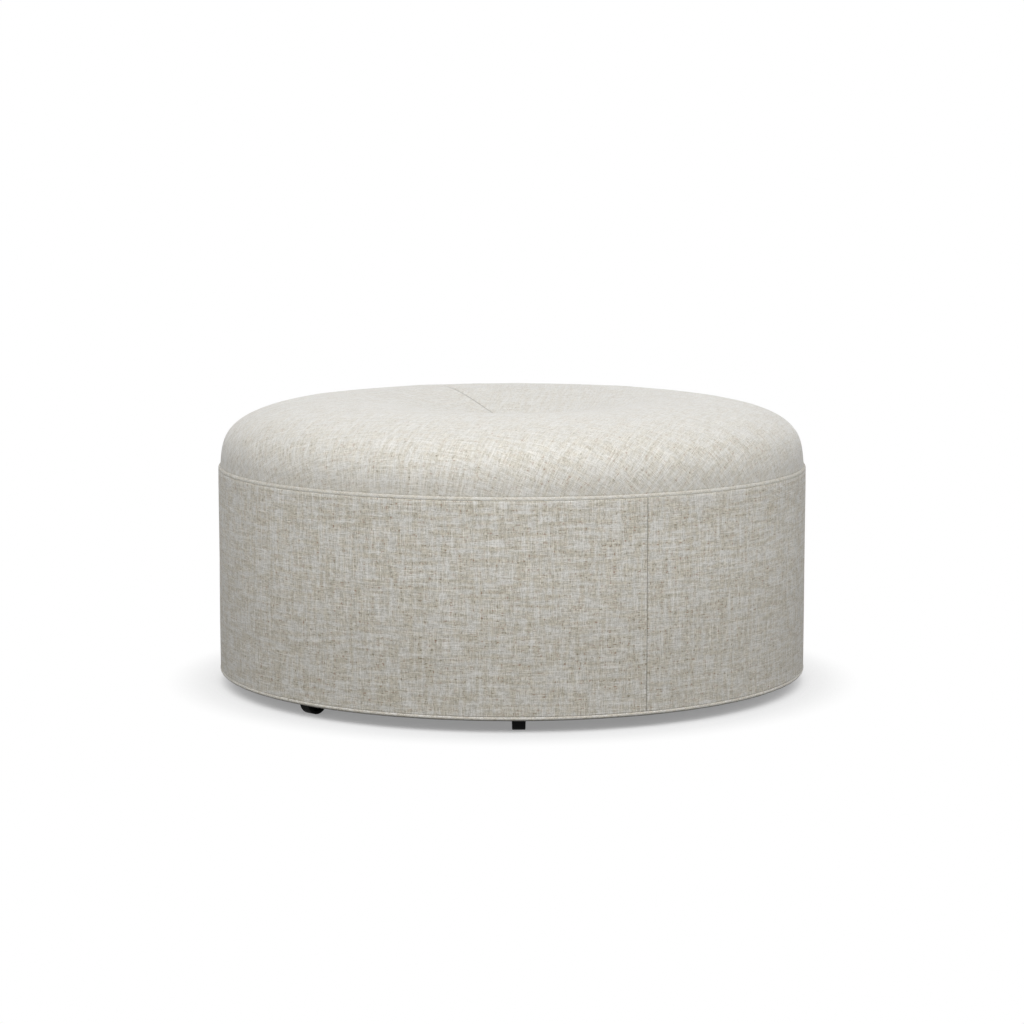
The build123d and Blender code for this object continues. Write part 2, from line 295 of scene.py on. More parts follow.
def crown_cushion():
    """The whole crown, closed below, with its seam pressed in from the middle to the back."""
    line = crown_line(crown_step)[1:]
    widths = [math.radians(width) for width in (0.12, 0.25, 0.42, 0.7)]
    angles = angles_with_seams(crown_columns, [seam_back], widths, seam_back)
    turns = angles[:-1]
    points = round_grid(line, turns)
    heights = np.zeros(points.shape[:2])
    above_start = line[:, 1] - top_welt_height + fold_start
    fade = smooth(0, fold_fade_middle, line[:, 0]) * smooth(0, fold_fade_edge, above_start)
    heights += crown_heights(len(line), turns) * fade[:, None]
    aside = np.abs(np.sin((turns - seam_back) / 2)) * 2 * line[:, 0][:, None]
    groove = np.exp(-((aside / seam_width) ** 2)) * seam_groove
    shoulder = np.exp(-(((aside - shoulder_place) / shoulder_width) ** 2)) * seam_groove * shoulder_share
    heights += shoulder - groove
    points += outward_of(line, turns) * heights[..., None]
    lengths = np.r_[0, np.cumsum(np.linalg.norm(np.diff(line, axis=0), axis=1))] + crown_step
    flat_turn = (angles - seam_back - math.pi) * crown_ease_share + seam_back + math.pi - crown_grain
    uv = np.stack([lengths[:, None] * np.cos(flat_turn), lengths[:, None] * np.sin(flat_turn)], -1)
    dip = np.zeros((1, len(turns), 3))
    dip[..., 2] = crown_top - hollow_depth
    foot = top_welt_height - crown_foot
    under_line = np.array([[welt_centre - crown_foot_inset, foot], [0, foot]])
    grid = np.concatenate([dip, points, round_grid(under_line, turns)])
    uv = np.concatenate([np.zeros((1, len(angles), 2)), uv, uv[-1:] * 1.01, uv[-1:] * 0])
    piece = turned_mesh("crown_cushion", grid, uv)
    return close_holes(piece)


# Band covers

band_row_step = 7 * MM
band_columns = 300
tuck_height = 2.0 * MM  # over which the band rolls in under each welt
head_tuck = 0.2 * MM
foot_tuck = 0.08 * MM
head_start = 2.2 * MM  # from the middle of the top cord down to the band's cloth
foot_start = 2.9 * MM  # from the middle of the bottom cord up to it
seam_roll = 1.8 * MM  # over which the band rolls in at its seams
seam_depth = 0.7 * MM
ridge_place = 7 * MM  # the swell beside each band seam
ridge_width = 4 * MM
ridge_height = 0.15 * MM
band_sway = 0.35 * MM  # how far the padding waves in and out
sway_length = 90 * MM
sway_height = 110 * MM
sway_calm = 40 * MM  # from the band's edges, where the welts hold it
back_inset = 1 * MM
back_overlap = 0.2 * MM
turned_under = 4 * MM  # the cloth that goes round to the back
edge_rows = [step * MM for step in (0, 0.9, 1.8, 2.8, 4.0, 5.5)]  # from the welts
seam_columns = [step * MM for step in (0.15, 0.5, 0.9, 1.4, 2.0, 2.8, 4.0)]  # from the seams


def band_cover(name, start):
    """Half of the band: cloth over its padding, rolled in at the seams and under the welts."""
    low = bottom_cord_height + foot_start
    high = top_cord_height - head_start
    count = round((high - low - 2 * edge_rows[-1]) / band_row_step)
    middle = np.linspace(low + edge_rows[-1], high - edge_rows[-1], count + 1)
    close_rows = np.array(edge_rows[:-1])
    levels = np.r_[low + close_rows, middle, high - close_rows[::-1]]
    even = np.linspace(start, start + math.pi, band_columns + 1)[1:-1]
    close_turns = np.array(seam_columns) / band_radius
    turns = np.r_[start + close_turns, even, start + math.pi - close_turns[::-1]]
    from_end = np.minimum(turns - start, start + math.pi - turns) * band_radius
    from_edge = np.minimum(levels - low, high - levels)
    roll = (1 - np.clip(from_end / seam_roll, 0, 1)) ** 2 * seam_depth
    ridge = np.exp(-(((from_end - ridge_place) / ridge_width) ** 2)) * ridge_height
    tuck = (1 - np.clip((high - levels) / tuck_height, 0, 1)) ** 2 * head_tuck
    tuck += (1 - np.clip((levels - low) / tuck_height, 0, 1)) ** 2 * foot_tuck
    sway = value_noise(turns[None, :] * band_radius / sway_length, levels[:, None] / sway_height, 29)
    calm = np.clip(from_edge / sway_calm, 0, 1)
    out = band_radius - tuck[:, None] - roll[None, :] + ridge[None, :] + band_sway * sway * calm[:, None]
    up = np.repeat(levels[:, None], len(turns), 1)
    outer = np.stack([out * np.cos(turns), out * np.sin(turns), up], -1)
    inner_radius = padding_radius - band_padding + back_overlap
    back = np.array([[inner_radius, high - back_inset], [inner_radius, low + back_inset]])
    grid = np.concatenate([outer, round_grid(back, turns)])
    u = (turns - start) * band_radius
    uv = np.stack(np.broadcast_arrays(u[None, :] + start, levels[:, None]), -1)
    uv = np.concatenate([uv, uv[-1:] + turned_under, uv[:1] - turned_under, uv[:1]])
    piece = turned_mesh(name, grid, uv, wrap_rows=True, wrap_columns=False)
    return close_holes(piece)


# Welts

welt_columns = 720
welt_sides = 16
joint_columns = [step * MM for step in (0.4, 0.9, 1.6)]  # from the joint
joint_pinch = 0.45 * MM
joint_width = 0.8 * MM
lump_height = 0.12 * MM
lump_length = 13 * MM
lump_room = 0.1 * MM  # taken off the cord for its lumps
flange_middle = 0.5 * MM  # from what a flange lies on to its middle
top_flange_start = 2 * MM  # below the top welt's middle
top_flange_thickness = 0.8 * MM
hem_flange_start = 2.6 * MM  # inside the bottom welt's middle
hem_flange_thickness = 0.9 * MM
hem_turn = 0.6 * MM


def welt(name, height, centre, joint, flange):
    """A cord in bias-cut cloth, with its joint, and the sewn edge behind or under it."""
    widths = [width / band_radius for width in joint_columns]
    turns = angles_with_seams(welt_columns, [joint], widths, joint)
    open_turns = turns[:-1]
    section = np.linspace(0, 2 * math.pi, welt_sides, endpoint=False)
    beside = np.abs(np.sin((open_turns - joint) / 2)) * 2 * band_radius
    pinch = np.exp(-((beside / joint_width) ** 2)) * joint_pinch
    lumps = value_noise(open_turns * band_radius / lump_length, np.full_like(open_turns, joint), 41)
    radius = cord_radius - lump_room - pinch + lumps * lump_height
    out = centre + radius[None, :] * np.cos(section[:, None])
    up = height + radius[None, :] * np.sin(section[:, None])
    grid = np.stack([out * np.cos(open_turns), out * np.sin(open_turns), up], -1)
    u = (turns - joint) * band_radius
    v = np.r_[section, 2 * math.pi] * cord_radius
    uv = np.stack(np.broadcast_arrays(u[None, :], v[:, None]), -1)
    piece = turned_mesh(name, grid, uv, wrap_rows=True)
    edge_grid = round_grid(flange, open_turns)
    edge = turned_mesh(name + "_edge", edge_grid, uv[:len(flange) + 1], wrap_rows=True)
    return join(name, [close_holes(piece), close_holes(edge)])


def join(name, pieces):
    """One object from several, each still closed by itself."""
    bpy.ops.object.select_all(action="DESELECT")
    for one in pieces:
        one.select_set(True)
    bpy.context.view_layer.objects.active = pieces[0]
    bpy.ops.object.join()
    pieces[0].name = name
    return pieces[0]


def rounded_strip(corners, thickness):
    """The outline of a strip of cloth that follows a few corners."""
    corners = np.array(corners)
    ahead = np.diff(corners, axis=0)
    ahead /= np.linalg.norm(ahead, axis=1)[:, None]
    ahead = np.vstack([ahead[:1], (ahead[:-1] + ahead[1:]), ahead[-1:]])
    ahead /= np.linalg.norm(ahead, axis=1)[:, None]
    aside = np.column_stack([-ahead[:, 1], ahead[:, 0]]) * thickness / 2
    return np.vstack([corners + aside, (corners - aside)[::-1]])


def top_flange():
    """Down between the band's cloth and its padding."""
    out = band_radius - cloth - flange_middle
    down = [(out, top_welt_height - top_flange_start), (out, top_welt_low.z)]
    return rounded_strip(down, top_flange_thickness)


def hem_flange():
    """From the bottom welt in under the wall and up its inner face."""
    low = wall_foot - flange_middle
    out = wall_inner - flange_middle
    corner = hem_turn * 0.4
    under = [(welt_centre - hem_flange_start, low), (out + hem_turn * 2, low)]
    inside = [(out + corner, low + corner), (out, low + hem_turn * 2), (out, bottom_welt_high.z)]
    return rounded_strip(under + inside, hem_flange_thickness)


# Dust cover and staples

dust_cover_radius = wall_inner - 1.2 * MM
dust_cover_step = 9 * MM
dust_cover_columns = 240
dust_cover_thickness = 0.3 * MM
dust_cover_height = plates_top + 0.45 * MM  # of its lower face, where it is held
dust_cover_middle = plates_top - 0.6 * MM
sag_depth = 0.9 * MM
sag_length = 110 * MM
wrinkle_depth = 0.5 * MM
wrinkle_length = 45 * MM
rim_hold = 100 * MM  # how far in from the rim the staples keep the cloth from sagging fully
plate_hold = (50 * MM, 140 * MM)  # from the casters' circle, where the sag starts and is full


def dust_cover():
    """Thin black cloth under the base board, stapled near its rim, hanging a little between the plates."""
    line = spaced(np.array([[0.0, 0.0], [dust_cover_radius, 0.0]]), dust_cover_step)[1:]
    turns = np.linspace(0, 2 * math.pi, dust_cover_columns, endpoint=False)
    points = round_grid(line, turns)
    x, y = points[..., 0], points[..., 1]
    broad = value_noise(x / sag_length, y / sag_length, 61)
    small = np.abs(value_noise(x / wrinkle_length, y / wrinkle_length, 67))
    sag = sag_depth * (1 + broad) + wrinkle_depth * small
    from_rim = smooth(0, rim_hold, dust_cover_radius - line[:, 0])[:, None]
    from_plates = smooth(*plate_hold, np.abs(line[:, 0] - caster_circle))[:, None]
    points[..., 2] = dust_cover_height - sag * from_rim * from_plates
    upper = points.copy()
    upper[..., 2] += dust_cover_thickness
    centre = np.zeros((1, len(turns), 3))
    centre[..., 2] = dust_cover_middle
    upper_centre = centre + [0, 0, dust_cover_thickness]
    grid = np.concatenate([centre, points, upper[::-1], upper_centre])
    uv = np.concatenate([grid[..., :2], grid[:, :1, :2]], 1)
    return close_holes(turned_mesh("dust_cover_cloth", grid, uv))


def tree_with(name, sizes):
    """A geometry tree with named number inputs and one geometry output."""
    tree = bpy.data.node_groups.new(name, "GeometryNodeTree")
    tree.interface.new_socket("Geometry", in_out="OUTPUT", socket_type="NodeSocketGeometry")
    for label, (kind, start) in sizes.items():
        socket = tree.interface.new_socket(label, in_out="INPUT", socket_type=kind)
        socket.default_value = start
    return tree


def grown(tree, name, values):
    """A plain mesh object made by a tree with these values."""
    holder = bpy.data.objects.new(name + "_grower", bpy.data.meshes.new(name + "_grower"))
    bpy.context.scene.collection.objects.link(holder)
    work = holder.modifiers.new("tree", "NODES")
    work.node_group = tree
    for item in tree.interface.items_tree:
        if item.item_type == "SOCKET" and item.in_out == "INPUT" and item.name in values:
            work[item.identifier] = values[item.name]
    graph = bpy.context.evaluated_depsgraph_get()
    mesh = bpy.data.meshes.new_from_object(holder.evaluated_get(graph))
    mesh.name = name
    bpy.data.objects.remove(holder)
    piece = bpy.data.objects.new(name, mesh)
    bpy.context.scene.collection.objects.link(piece)
    return piece


def staple_tree(material):
    """Wire staples, evenly round a circle with a little of the hand's wander."""
    tree = tree_with("staple_ring", {
        "Radius": ("NodeSocketFloat", wall_inner),
        "Height": ("NodeSocketFloat", wall_foot),
        "Count": ("NodeSocketInt", 100),
        "Crown": ("NodeSocketFloat", 10 * MM),
        "Wire": ("NodeSocketFloat", 0.5 * MM),
        "Tilt": ("NodeSocketFloat", 0.12),
    })
    nodes, links = tree.nodes, tree.links

    def add(kind, settings=None, **inputs):
        node = nodes.new(kind)
        for key, value in (settings or {}).items():
            setattr(node, key, value)
        for key, value in inputs.items():
            socket = node.inputs[key.replace("_", " ")]
            if isinstance(value, bpy.types.NodeSocket):
                links.new(value, socket)
            else:
                socket.default_value = value
        return node

    given = nodes.new("NodeGroupInput").outputs
    ring = add("GeometryNodeCurvePrimitiveCircle", Radius=given["Radius"], Resolution=256)
    dots = add("GeometryNodeCurveToPoints", {"mode": "COUNT"}, Curve=ring.outputs["Curve"],
               Count=given["Count"])
    lift = add("ShaderNodeCombineXYZ", Z=given["Height"])
    placed = add("GeometryNodeSetPosition", Geometry=dots.outputs["Points"], Offset=lift.outputs["Vector"])
    wander = add("FunctionNodeRandomValue", {"data_type": "FLOAT"}, Seed=7)
    wander.inputs[2].default_value = -1
    wander.inputs[3].default_value = 1
    tilt = add("ShaderNodeMath", {"operation": "MULTIPLY"})
    links.new(wander.outputs[1], tilt.inputs[0])
    links.new(given["Tilt"], tilt.inputs[1])
    turn = add("ShaderNodeCombineXYZ", X=tilt.outputs[0])
    wire = add("GeometryNodeMeshCylinder", Vertices=8, Radius=given["Wire"], Depth=given["Crown"])
    along = add("FunctionNodeAlignRotationToVector", {"axis": "Z"}, Vector=dots.outputs["Tangent"])
    tilted = add("FunctionNodeRotateRotation", {"rotation_space": "LOCAL"},
                 Rotation=along.outputs["Rotation"], Rotate_By=turn.outputs["Vector"])
    copies = add("GeometryNodeInstanceOnPoints", Points=placed.outputs["Geometry"],
                 Instance=wire.outputs["Mesh"], Rotation=tilted.outputs["Rotation"])
    real = add("GeometryNodeRealizeInstances", Geometry=copies.outputs["Instances"])
    painted = add("GeometryNodeSetMaterial", Geometry=real.outputs["Geometry"], Material=material)
    out = nodes.new("NodeGroupOutput")
    links.new(painted.outputs["Geometry"], out.inputs["Geometry"])
    return tree


# Shader maths

class Number:
    """A number that varies over a surface. Arithmetic on it adds Math nodes."""

    def __init__(self, finish, socket):
        self.finish = finish
        self.socket = socket

    def _with(self, operation, *others, swap=False):
        values = [self, *others]
        if swap:
            values.reverse()
        return self.finish.math(operation, *values)

    def __add__(self, other):
        return self._with("ADD", other)

    def __radd__(self, other):
        return self._with("ADD", other)

    def __sub__(self, other):
        return self._with("SUBTRACT", other)

    def __rsub__(self, other):
        return self._with("SUBTRACT", other, swap=True)

    def __mul__(self, other):
        return self._with("MULTIPLY", other)

    def __rmul__(self, other):
        return self._with("MULTIPLY", other)

    def __truediv__(self, other):
        return self._with("DIVIDE", other)

    def floor(self):
        return self._with("FLOOR")

    def sine(self):
        return self._with("SINE")

    def size(self):
        return self._with("ABSOLUTE")

    def ramp(self, low, high):
        """Nought below low, one above high, smooth between."""
        return self.finish.ramp(self, low, high)


class Finish:
    """A material: a principled shader, and the nodes that vary its colour, roughness and bump."""

    def __init__(self, name, **constants):
        self.material = bpy.data.materials.new(name)
        self.material.use_nodes = True
        self.nodes = self.material.node_tree.nodes
        self.links = self.material.node_tree.links
        self.shader = self.nodes["Principled BSDF"]
        for key, value in constants.items():
            self.shader.inputs[key.replace("_", " ")].default_value = value

    def node(self, kind, settings=None, inputs=None):
        made = self.nodes.new(kind)
        for key, value in (settings or {}).items():
            setattr(made, key, value)
        for key, value in (inputs or {}).items():
            self.feed(made.inputs[key], value)
        return made

    def feed(self, socket, value):
        if isinstance(value, Number):
            value = value.socket
        if isinstance(value, bpy.types.NodeSocket):
            self.links.new(value, socket)
        else:
            socket.default_value = value

    def math(self, operation, *values):
        made = self.node("ShaderNodeMath", {"operation": operation}, dict(enumerate(values)))
        return Number(self, made.outputs[0])

    def ramp(self, value, low, high):
        made = self.node("ShaderNodeMapRange", {"interpolation_type": "SMOOTHSTEP"},
                         {"Value": value, "From Min": low, "From Max": high})
        return Number(self, made.outputs["Result"])

    def noise(self, x, y, z=0.0, detail=0.0):
        """Smooth hills, about one per unit, from nought to one."""
        place = self.node("ShaderNodeCombineXYZ", None, {"X": x, "Y": y, "Z": z})
        made = self.node("ShaderNodeTexNoise", {"noise_dimensions": "3D"}, {
            "Vector": place.outputs[0], "Scale": 1.0, "Detail": detail, "Roughness": 0.5})
        return Number(self, made.outputs["Fac"])

    def random(self, x, y):
        """A number from nought to one for each whole x and y."""
        place = self.node("ShaderNodeCombineXYZ", None, {"X": x, "Y": y}).outputs[0]
        made = self.node("ShaderNodeTexWhiteNoise", {"noise_dimensions": "2D"}, {"Vector": place})
        return Number(self, made.outputs["Value"])

    def split(self, socket):
        made = self.node("ShaderNodeSeparateXYZ", None, {0: socket})
        return [Number(self, made.outputs[k]) for k in range(3)]

    def cloth_place(self):
        """Metres along and across the flat cloth."""
        made = self.node("ShaderNodeUVMap", {"uv_map": "cloth"})
        return self.split(made.outputs["UV"])[:2]

    def place(self):
        return self.split(self.node("ShaderNodeTexCoord").outputs["Object"])

    def mix(self, share, first, second):
        """The first colour at nought, the second at one."""
        made = self.node("ShaderNodeMix", {"data_type": "RGBA"})
        self.feed(made.inputs["Factor"], share)
        self.feed(made.inputs[6], first)
        self.feed(made.inputs[7], second)
        return made.outputs[2]

    def colour(self, socket):
        self.feed(self.shader.inputs["Base Color"], socket)

    def rough(self, value):
        self.feed(self.shader.inputs["Roughness"], value)

    def bump(self, height, distance, strength):
        made = self.node("ShaderNodeBump", None, {
            "Height": height, "Distance": distance, "Strength": strength})
        self.feed(self.shader.inputs["Normal"], made.outputs["Normal"])


def linear(red, green, blue):
    """A colour picked in display values, from 0 to 255, as the shader needs it."""
    share = [v / 255 for v in (red, green, blue)]
    return tuple(v / 12.92 if v <= 0.04045 else ((v + 0.055) / 1.055) ** 2.4 for v in share) + (1.0,)


def grey(level):
    return (level, level, level, 1.0)


# Finishes

ivory = linear(246, 244, 239)
cool_linen = linear(229, 228, 224)
warm_linen = linear(221, 214, 197)
taupe = linear(164, 159, 145)
umber = linear(122, 112, 88)
russet = linear(150, 112, 90)
painted_crease_shade = linear(118, 113, 103)  # painted shade, laid on where little light reaches by the welts and low on the band
seam_brown = linear(84, 74, 58)
yarn_pitch = 1.1 * MM
mean_share = 0.36  # of the darker yarns


def linen(name, turned_cloth=0.0, contrast=1.0, nap=0.3, calm=0.0, warmth=1.0, seam=None, painted_light_bands=()):
    """Slubby plain weave of ivory, oatmeal and brown yarns, over warm and cool clouds.

    Each of the painted light bands is a height, the width of its blur, a share and its colour: painted
    shade, or a painted highlight.
    """
    weave = Finish(name, Roughness=0.92, Specular_IOR_Level=0.2, Sheen_Weight=nap, Sheen_Roughness=0.5)
    u, v = weave.cloth_place()
    if turned_cloth:
        cosine, sine = math.cos(turned_cloth), math.sin(turned_cloth)
        u, v = u * cosine - v * sine, u * sine + v * cosine
    drift = (weave.noise(u / (60 * MM), v / (60 * MM), 3.3) - 0.5) * (2.2 * MM)
    warp_at = u + drift
    weft_at = v + drift
    warp_number = (warp_at / yarn_pitch).floor()
    weft_number = (weft_at / yarn_pitch).floor()
    warp_wave = (warp_at * (math.pi / yarn_pitch)).sine()
    weft_wave = (weft_at * (math.pi / yarn_pitch)).sine()
    over = (warp_wave * weft_wave).ramp(-0.25, 0.25)
    warp = weave.noise(warp_number * 3.71, v / (11 * MM), 0.0, detail=1.0)
    weft = weave.noise(weft_number * 3.37, u / (12 * MM), 5.0, detail=1.0)
    yarn = over * warp + (1 - over) * weft
    grain = weave.random(warp_number, weft_number)
    warp_slub = weave.noise(u / (1.3 * MM), v / (55 * MM), 11.0).ramp(0.58, 0.74)
    weft_slub = weave.noise(v / (1.3 * MM), u / (62 * MM), 17.0).ramp(0.58, 0.74)
    slub = warp_slub + weft_slub
    cloud = weave.noise(u / (44 * MM), v / (6.5 * MM), 23.0) * 0.43
    cloud = cloud + weave.noise(u / (6.5 * MM), v / (38 * MM), 29.0) * 0.39
    cloud = cloud + weave.noise(u / (26 * MM), v / (20 * MM), 31.0) * 0.16 + 0.01
    warm = cloud.ramp(0.36, 0.64) * warmth
    # Painted sheen: towards the crown's top the weave's contrast and warmth fade, lightening it as sheen
    # seen at a grazing angle would
    if calm:
        painted_sheen_fade = 1 - weave.place()[2].ramp(crown_top - 55 * MM, crown_top - 8 * MM) * calm
        contrast = contrast * painted_sheen_fade
        warm = warm * painted_sheen_fade
    warp_dash = weave.noise(u / (1.5 * MM), v / (7 * MM), 37.0).ramp(0.62, 0.82)
    weft_dash = weave.noise(v / (1.5 * MM), u / (8 * MM), 43.0).ramp(0.62, 0.82)
    dash = (warp_dash + weft_dash) * (cloud.ramp(0.40, 0.60) * 0.75 + 0.25)
    tone = weave.mix(warm, cool_linen, warm_linen)
    darker = grain * 0.42 + yarn.ramp(0.40, 0.72) * 0.66 + warm * 0.12 - 0.055
    tone = weave.mix(mean_share + (darker - mean_share) * contrast, tone, taupe)
    tone = weave.mix((slub * 0.36 + (1 - yarn.ramp(0.25, 0.5)) * 0.35) * contrast, tone, ivory)
    reddish = weave.noise(u / (10 * MM), v / (10 * MM), 47.0).ramp(0.42, 0.58)
    tone = weave.mix(dash * (0.8 * contrast), tone, weave.mix(reddish, umber, russet))
    # Painted shade and painted highlight, laid on in bands by height
    for height, width, share, painted_tint in painted_light_bands:
        off = (weave.place()[2] - height).size()
        tone = weave.mix((1 - off.ramp(width * 0.3, width)) * share, tone, painted_tint)
    if seam is not None:
        tone = weave.mix(seam_shadow(weave, *seam) * 0.6, tone, seam_brown)
    weave.colour(tone)
    crest = over * warp_wave.size() + (1 - over) * weft_wave.size()
    weave.bump(crest * 0.6 + slub * 0.5 + grain * 0.3, 0.22 * MM, 0.5)
    return weave.material


def seam_shadow(finish, direction, both_sides, width):
    """One along the line where two edges of cloth meet, nought elsewhere."""
    x, y, z = finish.place()
    across = (x * math.sin(direction) - y * math.cos(direction)).size()
    line = 1 - across.ramp(width * 0.45, width)
    if both_sides:
        return line
    ahead = (x * math.cos(direction) + y * math.sin(direction)).ramp(0.0, 0.01)
    return line * ahead


def plywood(name):
    wood = Finish(name, Roughness=0.7)
    x, y, z = wood.place()
    grain = wood.noise(x / (180 * MM), y / (4 * MM), z / (10 * MM), detail=4.0)
    ply = (z / (1.5 * MM)).floor()
    layer = wood.noise(ply * 7.7, x / (300 * MM), y / (300 * MM))
    figure = (grain * 0.7 + layer * 0.3).ramp(0.3, 0.7)
    wood.colour(wood.mix(figure, linear(206, 174, 130), linear(168, 130, 88)))
    wood.rough(grain * 0.25 + 0.58)
    wood.bump(grain, 0.2 * MM, 0.5)
    return wood.material


def softwood(name):
    wood = Finish(name, Roughness=0.7)
    x, y, z = wood.place()
    rings = wood.noise(x / (8 * MM), y / (8 * MM), z / (250 * MM), detail=3.0)
    wood.colour(wood.mix(rings.ramp(0.35, 0.65), linear(222, 194, 148), linear(188, 150, 102)))
    wood.rough(rings * 0.2 + 0.6)
    wood.bump(rings, 0.25 * MM, 0.5)
    return wood.material


def black_rubber(name):
    """Moulded black tread with a faint haze of dust where it rolls."""
    rubber = Finish(name, Roughness=0.65, Specular_IOR_Level=0.1)
    x, y, z = rubber.place()
    grit = rubber.noise(x / (0.6 * MM), y / (0.6 * MM), z / (0.6 * MM), detail=2.0)
    haze = rubber.noise(x / (9 * MM), y / (9 * MM), z / (9 * MM), detail=2.0)
    rubber.colour(rubber.mix((haze * grit * 2).ramp(0.35, 0.8), linear(2, 2, 2), linear(10, 10, 10)))
    rubber.rough(grit * 0.25 + 0.5)
    rubber.bump(grit, 0.08 * MM, 0.4)
    return rubber.material


def metal(name, dark, pale, metallic, rough):
    steel = Finish(name, Metallic=metallic)
    x, y, z = steel.place()
    wear = steel.noise(x / (5 * MM), y / (5 * MM), z / (5 * MM), detail=3.0)
    fine = steel.noise(x / (0.5 * MM), y / (0.5 * MM), z / (3 * MM), detail=1.0)
    steel.colour(steel.mix(wear.ramp(0.35, 0.7), dark, pale))
    steel.rough(fine * 0.2 + rough)
    steel.bump(fine, 0.04 * MM, 0.3)
    return steel.material


def dust_cloth(name):
    """Thin black non-woven cloth with its dimpled bonding points."""
    sheet = Finish(name, Roughness=0.9, Specular_IOR_Level=0.2)
    u, v = sheet.cloth_place()
    pitch = 1.8 * MM
    dots = ((u * (2 * math.pi / pitch)).sine() * (v * (2 * math.pi / pitch)).sine()).ramp(0.2, 0.7)
    fibres = sheet.noise(u / (3 * MM), v / (3 * MM), 2.0, detail=3.0)
    sheet.colour(sheet.mix(fibres.ramp(0.3, 0.75), linear(14, 14, 15), linear(38, 38, 40)))
    sheet.bump(fibres - dots * 0.8, 0.2 * MM, 0.6)
    return sheet.material


def plain_fibre(name, dark, pale, scale):
    fibre = Finish(name, Roughness=0.95)
    x, y, z = fibre.place()
    tuft = fibre.noise(x / scale, y / scale, z / scale, detail=4.0)
    fibre.colour(fibre.mix(tuft.ramp(0.3, 0.7), dark, pale))
    fibre.bump(tuft, scale * 0.2, 0.6)
    return fibre.material


# Pieces and their finishes

def dress(piece, material, slot, *nodes):
    """Gives a piece its finish and its place on the ottoman's body."""
    piece.data.materials.clear()
    piece.data.materials.append(material)
    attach(piece, "root")
    if nodes:
        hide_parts(*nodes)
    return piece


def paint(node, material):
    """A carried-over node gets its finish in every material slot."""
    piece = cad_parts[node]
    for slot in piece.material_slots:
        slot.material = material
    if not piece.material_slots:
        piece.data.materials.append(material)


# Painted light: the crown is the band's cloth made paler and cooler by lower contrast and warmth, with
# painted sheen near its top and painted shade just above the top welt
crown_linen = linen("crown_linen", contrast=0.76, nap=0.6, calm=0.18, warmth=0.6,
                    seam=(seam_back, False, 1.5 * MM), painted_light_bands=[(top_welt_height, 32 * MM, 0.10, painted_crease_shade)])
# Painted shade darkens the band towards the floor; the ivory band is a painted highlight on its roll under
# the top welt
band_linen = linen("band_linen", seam=(seam_right, True, 0.8 * MM), painted_light_bands=[
    (bottom_welt_height, 260 * MM, 0.13, painted_crease_shade),
    (top_cord_height - head_start - 2.4 * MM, 2.4 * MM, 0.2, ivory)])
# Painted shade in the crease along the top welt's upper side and on the bottom welt's underside
welt_linen = linen("welt_linen", turned_cloth=math.pi / 4, contrast=0.6, warmth=0.7, painted_light_bands=[
    (top_cord_height + 3.2 * MM, 4.0 * MM, 0.16, painted_crease_shade),
    (bottom_welt_low.z + 0.3 * MM, 2.2 * MM, 0.35, painted_crease_shade)])
zinc = metal("zinc_plate", linear(150, 150, 148), linear(190, 190, 186), 1.0, 0.25)
staple_wire = metal("staple_wire", linear(160, 160, 160), linear(200, 200, 198), 1.0, 0.2)

crown = dress(crown_cushion(), crown_linen, "cover_cloth", "crown_cover", "crown_wadding", "seat_foam")
right_cover = dress(band_cover("band_cover_right", seam_right), band_linen, "cover_cloth",
                    "band_panel_right")
left_cover = dress(band_cover("band_cover_left", seam_back), band_linen, "cover_cloth",
                   "band_panel_left", "band_padding")
top_cord = welt("top_welt_cord", top_cord_height, top_cord_centre, welt_joint_top, top_flange())
dress(top_cord, welt_linen, "welt_cloth", "top_welt")
bottom_cord = welt("bottom_welt_cord", bottom_cord_height, bottom_cord_centre, welt_joint_bottom,
                   hem_flange())
dress(bottom_cord, welt_linen, "welt_cloth", "bottom_welt")
under = dress(dust_cover(), dust_cloth("dust_cloth"), "dust_cloth", "dust_cover")
staples = staple_tree(staple_wire)
hem_ring = {"Radius": wall_inner - 1.5 * MM, "Height": wall_foot + 9 * MM, "Count": 96}
dress(grown(staples, "hem_staples", hem_ring), staple_wire, "zinc_steel")
dust_cover_ring = {"Radius": wall_inner - 9 * MM, "Height": plates_top + 0.1 * MM, "Count": 72}
dress(grown(staples, "dust_cover_staples", dust_cover_ring), staple_wire, "zinc_steel")

ply = plywood("birch_plywood")
pine = softwood("pine")
black_steel = metal("black_steel", linear(10, 10, 10), linear(22, 22, 22), 0.3, 0.4)
axle_steel = metal("axle_steel", linear(30, 30, 30), linear(60, 60, 58), 0.9, 0.3)
rubber = black_rubber("black_rubber")
nylon = plain_fibre("washer_nylon", linear(205, 205, 198), linear(225, 225, 218), 4 * MM)
twine = plain_fibre("twine", linear(150, 128, 92), linear(180, 158, 120), 0.8 * MM)

finish_of = {
    "seat_deck": ply,
    "base_board": ply,
    "wall_panel_back": ply,
    "wall_panel_front": ply,
    "frame_posts": pine,
    "tuft_tie": twine,
    "tuft_washer": zinc,
    "caster_plates": black_steel,
    "kingpins": zinc,
    "thrust_washers": nylon,
    "plate_screws": zinc,
    "deck_screws": zinc,
    "base_screws": zinc,
}
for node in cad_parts:
    if node.startswith("caster_fork"):
        paint(node, black_steel)
    elif node.startswith("caster_axle"):
        paint(node, axle_steel)
    elif node.startswith("caster_wheel"):
        paint(node, rubber)
    elif node in finish_of:
        paint(node, finish_of[node])


# Floor, lights and camera

